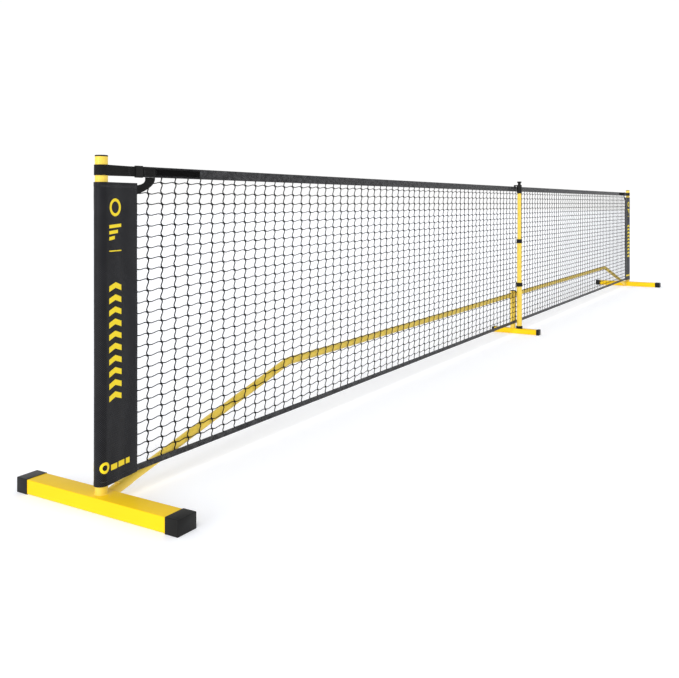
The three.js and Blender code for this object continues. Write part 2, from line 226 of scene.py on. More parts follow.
def make_cloth(name, dark, light, pitch, twill=0.5, relief=0.5, roughness=0.6, gloss=0.2,
               pucker=0.0, tones=(0.3, 0.9), mottle=(14, 0.85, 1.1)):
    """Woven cloth: the base colour is painted lighter on the raised threads and darker in the gaps
    between them, a painted highlight and painted shade on top of the bump.

    tones are the heights at which the thread is fully dark (painted shade) and fully light
    (painted highlight). mottle holds the scale of slow patches and how far they dim and brighten
    the cloth."""
    n = Nodes(name)
    mottle_scale, dimmest, brightest = mottle
    place = n.place("cloth")
    threads = weave_height(n, *pitch, twill)
    fuzz = n.noise(place, 900, 3)
    mixed = n.math("ADD", n.math("MULTIPLY", threads, 0.8), n.math("MULTIPLY", fuzz, 0.2))
    drift = n.spread(n.noise(place, mottle_scale), dimmest, brightest)
    toned = n.math("MULTIPLY", mixed, drift)
    # The base colour is painted: lighter on raised threads (painted highlight), darker in the gaps
    # (painted shade).
    n.colour(toned, (tones[0], dark), (tones[1], light))
    n.roughness(n.noise(place, 30), roughness - 0.06, roughness + 0.06)
    n.set(Specular_IOR_Level=gloss)
    height = mixed
    if pucker:
        height = n.math("ADD", mixed, n.math("MULTIPLY", n.noise(place, 45, 3), pucker))
    n.bump(height, relief, 0.5 * MM)
    return n.material


def make_cord():
    """Black braided cord: a fine spiral of strands."""
    n = Nodes("braided_cord")
    place = n.place()
    strands = n.noise(n.scaled(place, (500, 500, 300)), 1, 2)
    n.colour(strands, (0.3, (0.002, 0.002, 0.0023)), (0.7, (0.008, 0.008, 0.0085)))
    n.set(Roughness=0.6, Specular_IOR_Level=0.08)
    n.bump(strands, 0.5, 0.4 * MM)
    return n.material


# The tube coat's base is paler than the foot coat's and stands in for the soft highlight on round
# tubes: painted highlight. Its gloss is real.
FOOT_YELLOW = make_paint("yellow_foot_coat", (0.88, 0.57, 0.012), 0.06)
YELLOW = make_paint("yellow_tube_coat_painted_highlight", (0.84, 0.60, 0.075), 0.34)  # paler base: painted highlight; real soft shine
PLASTIC = make_plastic()
STEEL = make_steel()
CORD = make_cord()
SLEEVE_CLOTH = make_cloth(
    "sleeve_weave", (0.0018, 0.0018, 0.0023), (0.075, 0.076, 0.086), (4.2 * MM, 6.0 * MM),
    twill=0, relief=0.5, roughness=0.38, gloss=0.12, tones=(0.54, 0.95))
WEBBING = make_cloth(
    "ribbed_webbing", (0.003, 0.003, 0.003), (0.020, 0.020, 0.019), (2.4 * MM, 1.2 * MM),
    twill=0, relief=0.6, roughness=0.65, gloss=0.10)
# On the tape, the strong mottle paints blotches lighter and darker in place of the mottled
# reflections on its glossy puckers: painted reflection.
TAPE = make_cloth(
    "tape_weave", (0.003, 0.003, 0.0035), (0.105, 0.105, 0.110), (1.6 * MM, 1.6 * MM),
    relief=0.6, roughness=0.42, gloss=0.14, pucker=5.0, tones=(0.35, 1.0), mottle=(60, 0.2, 1.9))
LOOP_PILE = make_cloth(
    "loop_pile", (0.0008, 0.0008, 0.0008), (0.006, 0.006, 0.006), (1.1 * MM, 0.9 * MM),
    twill=0.3, relief=0.9, roughness=0.9, gloss=0.08)
THREAD = make_cloth(
    "sewing_thread", (0.035, 0.035, 0.038), (0.150, 0.150, 0.158), (0.8 * MM, 0.8 * MM),
    twill=0, relief=0.4, gloss=0.2)
INK = make_cloth(
    "yellow_print", (0.84, 0.62, 0.012), (0.96, 0.76, 0.03), (2.6 * MM, 2.6 * MM),
    relief=0.35, roughness=0.5, gloss=0.2)


# ---- mesh helpers

SHARP_ANGLE = radians(40)


def new_piece(name, shape, material, body="frame", replaces=(), cloth=None):
    """A mesh piece of the object, riding on a CAD body and standing for CAD nodes.

    shape is its points and faces. cloth holds each point's place on the cloth, for the weave."""
    points, faces = shape
    mesh = bpy.data.meshes.new(name)
    mesh.from_pydata([tuple(p) for p in points], [], faces)
    mesh.validate()
    mesh.materials.append(material)
    mesh.shade_smooth()
    mesh.set_sharp_from_angle(angle=SHARP_ANGLE)
    attribute = mesh.attributes.new("cloth", "FLOAT_VECTOR", "POINT")
    coordinates = cloth if cloth is not None else [(p[0], p[2], p[1]) for p in points]
    attribute.data.foreach_set("vector", np.asarray(coordinates, np.float32).ravel())
    piece = bpy.data.objects.new(name, mesh)
    bpy.context.scene.collection.objects.link(piece)
    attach(piece, body)
    if replaces:
        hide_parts(*replaces)
    return piece


def shell(node, shape, material, body="frame"):
    """A piece that stands for one CAD node."""
    return new_piece(f"{node}_shell", shape, material, body, [node])


def loft(rings, closed=False, caps=True):
    """Faces that join rings of equal size in turn. closed joins the last ring to the first."""
    count = len(rings[0])
    points = [p for ring in rings for p in ring]
    faces = []
    pairs = len(rings) if closed else len(rings) - 1
    for i in range(pairs):
        a, b = i * count, (i + 1) % len(rings) * count
        for j in range(count):
            k = (j + 1) % count
            faces.append((a + j, a + k, b + k, b + j))
    if caps and not closed:
        last = (len(rings) - 1) * count
        faces.append(tuple(reversed(range(count))))
        faces.append(tuple(range(last, last + count)))
    return points, faces


def ring_round(centre, across, up, radius, sides):
    """Points round a circle, in the plane of the unit vectors across and up."""
    turns = (2 * pi * i / sides for i in range(sides))
    return [centre + across * (radius * cos(t)) + up * (radius * sin(t)) for t in turns]


def square_to(axis):
    """Two unit vectors at right angles to an axis and to each other."""
    across = axis.cross(Y if abs(axis.y) < 0.9 else X).normalized()
    return across, axis.cross(across)


def circle_ring(centre, axis, radius, sides):
    return ring_round(centre, *square_to(Vector(axis).normalized()), radius, sides)


def headings(path):
    """The direction of a path at each of its points."""
    last = len(path) - 1
    return [(path[min(i + 1, last)] - path[max(i - 1, 0)]).normalized() for i in range(last + 1)]


def turned(base, axis, profile, sides=40, closed=False):
    """A turned shape: profile holds (radius, distance along the axis)."""
    axis = Vector(axis).normalized()
    base = Vector(base)
    rings = [circle_ring(base + axis * along, axis, max(radius, 0.02 * MM), sides)
             for radius, along in profile]
    return loft(rings, closed=closed)


def tube_profile(length, radius, wall, lip=0.4 * MM):
    """The closed half outline of a tube with slightly rounded ends."""
    bore = radius - wall
    return [(radius, lip), (radius, length - lip), (radius - lip, length), (bore + lip / 2, length),
            (bore, length - lip), (bore, lip), (bore + lip / 2, 0), (radius - lip, 0)]


def join_shapes(*shapes):
    points, faces = [], []
    for shape_points, shape_faces in shapes:
        start = len(points)
        points += list(shape_points)
        faces += [tuple(i + start for i in face) for face in shape_faces]
    return points, faces


def rounded_rectangle(centre, wide, high, half_wide, half_high, corner, steps=5):
    """Points round a rectangle with round corners, in the plane of the vectors wide and high."""
    points = []
    for cx, cy, start in ((1, 1, 0), (-1, 1, 90), (-1, -1, 180), (1, -1, 270)):
        for i in range(steps + 1):
            turn = radians(start + 90 * i / steps)
            u = cx * (half_wide - corner) + corner * cos(turn)
            v = cy * (half_high - corner) + corner * sin(turn)
            points.append(centre + wide * u + high * v)
    return points


def rounded_box(low, high, edge, steps=3):
    """A box with every edge rounded, lofted along Y."""
    low, high = Vector(low), Vector(high)
    middle, half = (low + high) / 2, (high - low) / 2
    rings = []
    for end in (-1, 1):
        turns = [radians(90 * i / steps) for i in range(steps + 1)]
        for turn in turns if end < 0 else reversed(turns):
            inset = edge * (1 - sin(turn))
            along = end * (half.y - edge * (1 - cos(turn)))
            centre = Vector((middle.x, middle.y + along, middle.z))
            rings.append(rounded_rectangle(
                centre, X, Z, half.x - inset, half.z - inset, max(edge - inset, edge * 0.3)))
    return loft(rings)


# ---- steel tubes and feet

def tube_piece(node, wall, axis=Z, material=YELLOW, body="frame"):
    """A straight tube that stands for a CAD tube along X or Z, with its size from the CAD."""
    low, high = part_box(node)
    length = (high - low).dot(axis)
    radius = (high - low).dot(Y) / 2
    base = (low + high) / 2 - axis * (length / 2)
    tube = turned(base, axis, tube_profile(length, radius, wall), closed=True)
    return shell(node, tube, material, body)


def box_ring(middle, half, along, inset, corner, smallest):
    """A foot's rounded section at a distance along Y from its middle."""
    centre = Vector((middle.x, middle.y + along, middle.z))
    return rounded_rectangle(
        centre, X, Z, half.x - inset, half.z - inset, max(corner - inset, smallest))


def foot_tube(node, wall, corner):
    middle, half = middle_and_half(node)
    rings = [box_ring(middle, half, end * half.y, inset, corner, 1 * MM)
             for inset, end in ((0, -1), (0, 1), (wall, 1), (wall, -1))]
    return shell(node, loft(rings, closed=True), FOOT_YELLOW)


def foot_cap(node, direction, wall, corner):
    """A moulded cap over a foot's end, open towards the tube."""
    middle, half = middle_and_half(node)
    mouth, end = -half.y, half.y
    edge = 1 * MM
    stations = [
        (wall, end - 2 * wall), (wall, mouth), (0.3 * MM, mouth), (0, mouth + 0.3 * MM),
        (0, end - edge), (0.3 * edge, end - 0.3 * edge), (edge, end),
    ]
    rings = []
    for inset, along in stations:
        ring = box_ring(middle, half, direction * along, inset, corner, 0.8 * MM)
        rings.append(ring if direction > 0 else ring[::-1])
    return shell(node, loft(rings), PLASTIC)


def make_feet():
    for name in ("left", "right", "centre"):
        foot_tube(f"{name}_foot_tube", 2 * MM, 2.2 * MM)
        foot_cap(f"{name}_foot_cap_front", -1, 1.2 * MM, 2.2 * MM)
        foot_cap(f"{name}_foot_cap_back", 1, 1.2 * MM, 2.2 * MM)


def weld_bead(name, centre, axis, radius, thickness, ripples):
    """A painted weld: a low rippled ring where a tube meets another part."""
    rings = []
    count = ripples * 4
    axis = Vector(axis).normalized()
    across, up = square_to(axis)
    for i in range(count):
        turn = 2 * pi * i / count
        ripple = 1 + 0.12 * sin(turn * ripples)
        ring = []
        for j in range(8):
            around = 2 * pi * j / 8
            out = radius + thickness * ripple * cos(around)
            along = thickness * ripple * sin(around)
            ring.append(centre + across * (out * cos(turn)) + up * (out * sin(turn))
                        + axis * along)
        rings.append(ring)
    return new_piece(name, loft(rings, closed=True), YELLOW)


def make_post_cap(name):
    """A cap with a plug inside the post's tube and a thin rounded head over it."""
    low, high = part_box(f"{name}_post_cap")
    radius, height = (high.x - low.x) / 2, high.z - low.z
    rim = height - 4 * MM
    profile = [
        (0, 0), (13.4 * MM, 0), (14.4 * MM, 1 * MM), (14.6 * MM, rim), (radius - 0.3 * MM, rim),
        (radius, rim + 0.4 * MM), (radius, height - 2 * MM),
        (radius - 0.5 * MM, height - 0.9 * MM), (radius - 1.8 * MM, height - 0.3 * MM),
        (radius * 0.6, height), (0, height),
    ]
    base = (post_x(name), 0, low.z)
    shell(f"{name}_post_cap", turned(base, Z, profile), PLASTIC, f"{name}_post")


def make_posts():
    for name, _ in SIDES:
        tube_piece(f"{name}_post_stub", 1.8 * MM)
        tube_piece(f"{name}_post_ferrule", 1.5 * MM, material=STEEL)
        tube_piece(f"{name}_post_tube", 1.8 * MM, body=f"{name}_post")
        foot_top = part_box(f"{name}_foot_tube")[1].z
        weld_at = Vector((post_x(name), 0, foot_top))
        weld_bead(f"{name}_post_weld", weld_at, Z, 17.2 * MM, 1.3 * MM, 34)
        make_post_cap(name)


# ---- rails

# Places along a rail are distances from the post's axis, as in x_at.
RAIL_RADIUS = 13.8 * MM
SOCKET_RADIUS = 15.1 * MM
ELBOW_RADIUS = 0.15
SOCKET_MOUTH = 0.118
RAIL_START = 0.083  # the rail's end inside its socket
RAIL_JOINT = 1.25  # where the bent rail meets the middle rail


def rail_line():
    """Where the rail's sloping part starts on the foot's inner side, its slope and its top."""
    low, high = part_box("left_middle_rail")
    top = (low.z + high.z) / 2
    return {"y": (low.y + high.y) / 2, "top": top, "foot_s": 33 * MM, "foot_z": 20 * MM,
            "elbow_s": 0.89}


RAIL = rail_line()
RAIL_SLOPE = (RAIL["top"] - RAIL["foot_z"]) / (RAIL["elbow_s"] - RAIL["foot_s"])


def rail_point(side, s):
    z = min(RAIL["foot_z"] + (s - RAIL["foot_s"]) * RAIL_SLOPE, RAIL["top"])
    return Vector((x_at(side, s), RAIL["y"], z))


def bent_rail_stations(side, start_s, end_s, steps=14):
    angle = atan(RAIL_SLOPE)
    centre_s = RAIL["elbow_s"] + ELBOW_RADIUS * tan(angle / 2)
    stations = [rail_point(side, start_s)]
    for i in range(steps + 1):
        turn = angle * (1 - i / steps)
        stations.append(Vector((
            x_at(side, centre_s - ELBOW_RADIUS * sin(turn)), RAIL["y"],
            RAIL["top"] - ELBOW_RADIUS * (1 - cos(turn)))))
    stations.append(rail_point(side, end_s))
    return stations


def swept_tube(stations, radius, wall, sides=40):
    """A tube along a path: the outside from start to end, then the bore back again."""
    outer, inner = (
        [circle_ring(p, d, size, sides) for p, d in zip(stations, headings(stations))]
        for size in (radius, radius - wall))
    return loft(outer + inner[::-1], closed=True)


def make_socket(name, side):
    """The socket's tube, cut flat where it meets the foot's side, and its weld."""
    start, end = rail_point(side, RAIL["foot_s"]), rail_point(side, SOCKET_MOUTH)
    axis = (end - start).normalized()
    profile = tube_profile((end - start).length, SOCKET_RADIUS, 0.9 * MM)
    points, faces = turned(start, axis, profile, closed=True)
    plane = x_at(side, RAIL["foot_s"] + 0.3 * MM)
    points = [p + axis * ((plane - p.x) / axis.x) if (p - start).dot(axis) < 1 * MM else p
              for p in points]
    shell(f"{name}_rail_socket", (points, faces), YELLOW)
    weld_at = rail_point(side, RAIL["foot_s"] + 0.5 * MM)
    weld_bead(f"{name}_socket_weld", weld_at, X, SOCKET_RADIUS, 1.2 * MM, 30)


def make_button(node, body):
    """A spring button with a domed end."""
    low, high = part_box(node)
    middle = (low + high) / 2
    radius, tall = (high.x - low.x) / 2, high.y - low.y
    turns = [radians(degrees) for degrees in range(0, 90, 15)]
    dome = [(radius * cos(t), tall - 1.5 * MM * (1 - sin(t))) for t in turns]
    profile = [(0, 0), (radius, 0.2 * MM), *dome, (0, tall)]
    button = turned((middle.x, low.y, middle.z), Y, profile, sides=24)
    new_piece(f"{node}_pin", button, STEEL, body, [node])


def make_rails():
    for name, side in SIDES:
        make_socket(name, side)
        stations = bent_rail_stations(side, RAIL_START, RAIL_JOINT)
        shell(f"{name}_bent_rail", swept_tube(stations, RAIL_RADIUS, 1.5 * MM), YELLOW)
        for part in ("middle_rail", "inner_rail"):
            tube_piece(f"{name}_{part}", 1.5 * MM, X)
        for part in ("outer_ferrule", "inner_ferrule"):
            tube_piece(f"{name}_{part}", 1.2 * MM, X, STEEL)
        for part in ("socket", "rail"):
            make_button(f"{name}_{part}_button", f"{name}_{part}_pin")
        make_brace(name, side)


BRACE_RADIUS = 3.5 * MM
BRACE_POST_Z = 80 * MM  # where its line meets the post's axis
BRACE_SOCKET_S = 96 * MM  # where its line meets the socket's axis


def make_brace(name, side):
    """A thin rod from the post stub down to the top of the rail socket."""
    top = Vector((x_at(side, 0), 0, BRACE_POST_Z))
    bottom = rail_point(side, BRACE_SOCKET_S)
    axis = (bottom - top).normalized()
    socket_axis = (bottom - rail_point(side, RAIL["foot_s"])).normalized()
    away = (top - bottom).cross(socket_axis).length  # shrinks evenly to 0 along the rod
    touch = (bottom - top).length * (1 - SOCKET_RADIUS / away)
    start = 16 * MM / Vector((axis.x, axis.y)).length  # just inside the post stub's wall
    length = touch + 1 * MM - start
    profile = [(0, 0), (BRACE_RADIUS, 0), (BRACE_RADIUS, length), (0, length)]
    rod = turned(top + axis * start, axis, profile, sides=24)
    shell(f"{name}_brace_rod", rod, YELLOW)


# ---- centre stand

def make_tee():
    """The stub that holds both rails: two open arms, their welds, and a cap."""
    low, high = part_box("centre_tee")
    y = RAIL["y"]
    radius, tall = (high.y - low.y) / 2, high.z - low.z
    stub = turned((0, y, low.z), Z, [(0, 0), (radius, 0), (radius, tall), (0, tall)])
    mouth = high.x - radius * 0.5
    lip, bore, depth = 0.4 * MM, 14.3 * MM, 30 * MM
    arm = [(0, 0), (SOCKET_RADIUS, 0), (SOCKET_RADIUS, mouth - lip), (SOCKET_RADIUS - lip, mouth),
           (bore, mouth), (bore, mouth - depth), (0, mouth - depth)]
    arms = [turned(Vector((side * radius * 0.5, y, RAIL["top"])), X * side, arm)
            for _, side in SIDES]
    shell("centre_tee", join_shapes(stub, *arms), YELLOW)
    for name, side in SIDES:
        weld_at = Vector((side * radius * 0.98, y, RAIL["top"]))
        weld_bead(f"tee_{name}_weld", weld_at, X, SOCKET_RADIUS, 1.1 * MM, 30)
    low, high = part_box("centre_tee_cap")
    tall = high.z - low.z
    profile = [(0, 0), (radius, 0), (radius, tall - 2 * MM), (radius - 0.8 * MM, tall - 0.7 * MM),
               (radius - 3 * MM, tall), (0, tall)]
    shell("centre_tee_cap", turned((0, y, low.z), Z, profile), PLASTIC)
    foot_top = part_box("centre_foot_tube")[1].z
    weld_bead("tee_weld", Vector((0, y, foot_top)), Z, radius, 1.2 * MM, 30)


def make_centre():
    make_tee()
    tube_piece("mast_lower_tube", 1.6 * MM)
    tube_piece("mast_middle_tube", 1.6 * MM, body="middle_mast")
    tube_piece("mast_top_tube", 1.4 * MM, body="top_mast")
    make_base_ring()
    make_collar("lower_collar", "lower_lock", 16.4 * MM, 14.4 * MM)
    make_collar("upper_collar", "upper_lock", 14.4 * MM, 12.4 * MM)
    make_hook()


def make_base_ring():
    low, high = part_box("mast_base_ring")
    centre = (low + high) / 2
    radius, tall = (high.x - low.x) / 2, high.z - low.z
    bore = radius - 2.9 * MM
    profile = [
        (bore, 0), (radius - 0.6 * MM, 0), (radius, 0.6 * MM), (radius, tall - 1.6 * MM),
        (radius - 0.5 * MM, tall - 0.5 * MM), (radius - 1.6 * MM, tall), (bore, tall)]
    ring = turned((centre.x, centre.y, low.z), Z, profile, closed=True)
    shell("mast_base_ring", ring, PLASTIC)


def make_collar(node, body, wide, narrow, ribs=24):
    """A twist collar with finger ribs round its grip."""
    low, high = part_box(node)
    centre = (low + high) / 2
    outside, tall = (high.x - low.x) / 2, high.z - low.z
    joint = 7 * MM  # where the wide bore ends
    sides = ribs * 4
    stations = [
        (wide, 0, 0), (outside - 0.8 * MM, 0, 0), (outside - 0.2 * MM, 0.6 * MM, 0),
        (outside, 2.2 * MM, 0), (outside, 3 * MM, 1), (outside, tall - 5 * MM, 1),
        (outside, tall - 4.2 * MM, 0), (outside, tall - 2.4 * MM, 0),
        (outside - 0.8 * MM, tall - 0.8 * MM, 0), (outside - 2 * MM, tall, 0), (narrow, tall, 0),
        (narrow, joint + 0.3 * MM, 0), (wide, joint + 0.3 * MM, 0),
    ]
    rings = []
    for radius, along, ribbed in stations:
        ring = []
        for i in range(sides):
            turn = 2 * pi * i / sides
            groove = 0.7 * MM * ribbed * (0.5 - 0.5 * cos(turn * ribs))
            r = radius - groove
            x, y = centre.x + r * cos(turn), centre.y + r * sin(turn)
            ring.append(Vector((x, y, low.z + along)))
        rings.append(ring)
    return shell(node, loft(rings, closed=True), PLASTIC, body)


def make_hook():
    low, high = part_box("mast_hook")
    y = box_centre("mast_top_tube").y
    tape_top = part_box("top_tape")[1].z
    block_top = tape_top + 10 * MM
    barrel, neck, flange = 15 * MM, 9 * MM, 13.5 * MM
    tall = high.z - low.z
    block = block_top - low.z
    body = turned((0, y, low.z), Z, [
        (12.4 * MM, 22 * MM), (12.4 * MM, 0), (barrel - 0.6 * MM, 0), (barrel, 0.6 * MM),
        (barrel, block - 1.2 * MM), (barrel - 1.2 * MM, block), (neck + 1.5 * MM, block + 0.3 * MM),
        (neck, block + 2.5 * MM), (neck, tall - 10 * MM), (neck + 2 * MM, tall - 8.2 * MM),
        (flange - 0.8 * MM, tall - 7.6 * MM), (flange, tall - 6.6 * MM), (flange, tall - 1.6 * MM),
        (flange - 1.6 * MM, tall), (0, tall)])
    bridge = rounded_box((-11 * MM, y, tape_top + 3 * MM), (11 * MM, high.y, block_top), 1 * MM)
    leg = rounded_box((-11 * MM, high.y - 6 * MM, tape_top - 28 * MM),
                      (11 * MM, high.y, block_top - 1 * MM), 1 * MM)
    shell("mast_hook", join_shapes(body, bridge, leg), PLASTIC, "top_mast")


# ---- webbing and tapes

def arc_lengths(path):
    lengths = [0.0]
    for a, b in zip(path, path[1:]):
        lengths.append(lengths[-1] + (b - a).length)
    return lengths


def strip(path, height_low, height_high, thickness):
    """A vertical band of webbing along a flat path: a closed section with soft edges."""
    half = thickness / 2
    middle = (height_low + height_high) / 2
    rise = (height_high - height_low) / 2
    section = [(half, -rise + half), (half, -rise * 0.3), (half, rise * 0.3), (half, rise - half),
               (half * 0.5, rise), (-half * 0.5, rise), (-half, rise - half), (-half, rise * 0.3),
               (-half, -rise * 0.3), (-half, -rise + half), (-half * 0.5, -rise),
               (half * 0.5, -rise)]
    rings, cloth = [], []
    for point, direction, length in zip(path, headings(path), arc_lengths(path)):
        normal = Vector((direction.y, -direction.x, 0)).normalized()
        centre = Vector((point.x, point.y, middle))
        rings.append([centre + normal * out + Z * up for out, up in section])
        cloth += [(length, middle + up, out) for out, up in section]
    return loft(rings), cloth


def round_post(radius, flat, half, steps=40):
    """Points (s, y) round behind a post, from the tangent through (flat, half) to its mirror."""
    lean = acos(radius / hypot(flat, half)) + atan2(half, flat)
    turns = [lean + (2 * pi - 2 * lean) * i / steps for i in range(steps + 1)]
    return [(radius * cos(turn), radius * sin(turn)) for turn in turns]


CAPSULE = ((-0.5, 0.35), (-0.35, 0.95), (0.0, 1.0), (0.35, 0.95), (0.5, 0.35))  # (along, radius)


def stitch_row(seam, length=3.0 * MM, radius=0.32 * MM, pitch=4.4 * MM):
    """Short threads along a seam of (point, normal). Each is a thin capsule on the surface."""
    points = [point for point, _ in seam]
    lengths = arc_lengths(points)
    total = lengths[-1]
    count = max(1, int(total / pitch))
    shapes = []
    index = 0
    for i in range(count):
        at = (i + 0.5) * total / count
        while index < len(lengths) - 2 and lengths[index + 1] < at:
            index += 1
        span = max(lengths[index + 1] - lengths[index], 1e-9)
        start, end = points[index], points[index + 1]
        normal = seam[index][1]
        centre = start.lerp(end, (at - lengths[index]) / span) + normal * (0.1 * MM)
        direction = (end - start).normalized()
        across = direction.cross(normal).normalized()
        shapes.append(loft([
            ring_round(centre + direction * (along * length), across, normal, radius * size, 5)
            for along, size in CAPSULE]))
    return join_shapes(*shapes)


def sew(name, rows, body="frame"):
    """One piece of thread for several rows of stitches."""
    return new_piece(name, join_shapes(*rows), THREAD, body)


def upright_seam(x, y, low, high, count):
    return [(Vector((x, y, z)), -Y) for z in np.linspace(low, high, count)]


def level_seam(y, z, low, high, count):
    return [(Vector((x, y, z)), -Y) for x in np.linspace(low, high, count)]


# Places along a strap are distances from the post's axis, as in x_at.
STRAP_RADIUS = 18.3 * MM
STRAP_FLAT = 92 * MM  # where its two layers come together
STRAP_TAIL = 150 * MM
STRAP_HALF_GAP = 0.95 * MM
STRAP_THICKNESS = 1.7 * MM
FLAP_START, FLAP_TIP = 0.1503, 0.200
BAR_TACK = (94.5 * MM, 97.5 * MM, 100.5 * MM)  # stitch lines, clear of the slider


def make_end_straps():
    low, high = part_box("left_end_strap")
    bottom, top = low.z, high.z
    around = round_post(STRAP_RADIUS, STRAP_FLAT, STRAP_HALF_GAP)
    route = [(STRAP_TAIL, STRAP_HALF_GAP), (STRAP_FLAT, STRAP_HALF_GAP), *around,
             (STRAP_FLAT, -STRAP_HALF_GAP), (STRAP_TAIL, -STRAP_HALF_GAP)]
    for name, side in SIDES:
        path = [Vector((x_at(side, s), y, 0)) for s, y in route]
        band, cloth = strip(path, bottom, top, STRAP_THICKNESS)
        new_piece(f"{name}_end_strap_webbing", band, WEBBING, "frame", [f"{name}_end_strap"], cloth)
        make_slider(name)
        make_flap(name, side, bottom, top)
        make_loop_patch(name)
        make_corner_strap(name, side)
        seams = [upright_seam(x_at(side, s), -1.9 * MM, bottom + 3 * MM, top - 3 * MM, 8)
                 for s in BAR_TACK]
        sew(f"{name}_strap_stitches", map(stitch_row, seams))


def make_slider(name):
    """A moulded loop round the strap, with rounded edges."""
    middle, half = middle_and_half(f"{name}_strap_slider")
    wall, mouth, edge = 1.6 * MM, 2.4 * MM, 0.6 * MM
    near = 1 - edge / half.x
    rings = []
    for inset, end in ((edge, -1), (0, -near), (0, near), (edge, 1),
                       (wall * 0.95, 1), (wall, near), (wall, -near), (wall * 0.95, -1)):
        centre = Vector((middle.x + end * half.x, middle.y, middle.z))
        tall_inset = inset if inset < wall * 0.9 else mouth
        rings.append(rounded_rectangle(
            centre, Y, Z, half.y - inset, half.z - tall_inset, max(1.4 * MM - inset, 0.5 * MM)))
    shell(f"{name}_strap_slider", loft(rings, closed=True), PLASTIC, f"{name}_slider")


def slab(outline, front, back, edge=0.4 * MM):
    """A flat piece in X and Z from its outline, with softened edges front and back."""
    centre = sum(outline, Vector((0, 0, 0))) / len(outline)
    count = len(outline)

    def inset(distance):
        points = []
        for i, point in enumerate(outline):
            a = (outline[i - 1] - point).normalized()
            b = (outline[(i + 1) % count] - point).normalized()
            inward = (centre - point).normalized()
            bisector = (a + b) if (a + b).length > 0.05 else inward
            if bisector.dot(inward) < 0:
                bisector = -bisector
            points.append(point + bisector.normalized() * distance)
        return points

    rings = []
    for y, distance in ((front, edge), (front + edge, 0), (back - edge, 0), (back, edge)):
        rings.append([Vector((p.x, y, p.z)) for p in inset(distance)])
    return loft(rings)


def rounded_outline(corners, radius, steps=4):
    """An outline in X and Z with its corners rounded."""
    points = []
    count = len(corners)
    for i, corner in enumerate(corners):
        before = (corners[i - 1] - corner).normalized() * radius
        after = (corners[(i + 1) % count] - corner).normalized() * radius
        for j in range(steps + 1):
            t = j / steps
            a, b = corner + before, corner + after
            points.append(a.lerp(corner, t).lerp(corner.lerp(b, t), t))
    return points


def make_flap(name, side, bottom, top):
    """The strap's hook end, laid on the tape, with a slanted tip."""
    low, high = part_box(f"{name}_strap_flap")
    start, tip = x_at(side, FLAP_START), x_at(side, FLAP_TIP)
    corners = [Vector((start, 0, bottom)), Vector((tip, 0, bottom)),
               Vector((tip + side * 4 * MM, 0, top)), Vector((start, 0, top))]
    inset = 3 * MM
    flap = slab(rounded_outline(corners, inset), low.y, high.y)
    new_piece(f"{name}_strap_flap_webbing", flap, WEBBING, f"{name}_flap", [f"{name}_strap_flap"])
    middle = sum(corners, Vector((0, 0, 0))) / 4
    inner = [c + (middle - c).normalized() * inset * 1.5 for c in corners]
    rows = []
    for a, b in zip(inner, inner[1:] + inner[:1]):
        rows.append(stitch_row([
            (Vector((a.x + (b.x - a.x) * t, low.y, a.z + (b.z - a.z) * t)), -Y)
            for t in np.linspace(0, 1, 12)]))
    sew(f"{name}_flap_stitches", rows, f"{name}_flap")


def make_loop_patch(name):
    low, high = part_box(f"{name}_loop_patch")
    corners = [Vector((low.x, 0, low.z)), Vector((high.x, 0, low.z)),
               Vector((high.x, 0, high.z)), Vector((low.x, 0, high.z))]
    patch = slab(rounded_outline(corners, 1.5 * MM), low.y, high.y, 0.5 * MM)
    new_piece(f"{name}_loop_patch_pile", patch, LOOP_PILE, "frame", [f"{name}_loop_patch"])
    left, right = low.x + 2 * MM, high.x - 2 * MM
    bottom, top = low.z + 2 * MM, high.z - 2 * MM
    seams = [level_seam(low.y, z, left, right, 40) for z in (bottom, top)]
    seams += [upright_seam(x, low.y, bottom, top, 10) for x in (left, right)]
    sew(f"{name}_patch_stitches", map(stitch_row, seams))


def make_corner_strap(name, side):
    """Webbing that curves from the sleeve's top corner up to the end of the tape."""
    tape_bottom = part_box(f"{name}_corner_strap")[1].z
    outer = [(0.126, 0.835), (0.196, 0.856), (0.199, tape_bottom)]  # (from the post, height)
    inner = [(0.126, 0.861), (0.160, 0.864), (0.160, tape_bottom)]
    section = ((0, -0.5), (0.04, -1), (0.5, -1), (0.96, -1), (1, -0.5),
               (1, 0.5), (0.96, 1), (0.5, 1), (0.04, 1), (0, 0.5))  # (share across, y in mm)
    steps = 18
    rings, cloth = [], []

    def bezier(control, t):
        a, b, c = (Vector((x_at(side, s), 0, z)) for s, z in control)
        return a.lerp(b, t).lerp(b.lerp(c, t), t)

    for i in range(steps + 1):
        t = i / steps
        a, b = bezier(outer, t), bezier(inner, t)
        bow = 2.5 * MM * sin(pi * t)
        ring = []
        for share, y in section:
            p = a.lerp(b, share)
            p.y = y * MM - bow
            ring.append(p)
            cloth.append((t * 0.08, share * 0.025, 0))
        rings.append(ring)
    new_piece(f"{name}_corner_strap_webbing", loft(rings), WEBBING, "frame",
              [f"{name}_corner_strap"], cloth)


def tape_section(low, high, way):
    """A folded tape's section in Y and Z: round over its rope edge, thin and hemmed opposite.

    way is 1 where the rope runs along the top, and -1 along the bottom."""
    half, bulge = 1.3 * MM, 2.1 * MM
    top, bottom = (high, low) if way > 0 else (low, high)
    rope = []
    for degrees in range(-30, 211, 30):
        turn = radians(degrees)
        rope.append((bulge * cos(turn), top - way * bulge + way * bulge * sin(turn)))
    side = [(half, top - way * 7 * MM), (half, (top + bottom) / 2), (half, bottom + way * 5 * MM),
            (half + 0.4 * MM, bottom + way * 4 * MM), (half + 0.3 * MM, bottom)]
    return rope + [(-y, z) for y, z in side] + side[::-1]


def tape_sway(x):
    return 0.35 * MM * sin(x * 9.1) + 0.2 * MM * sin(x * 23.7 + 1)


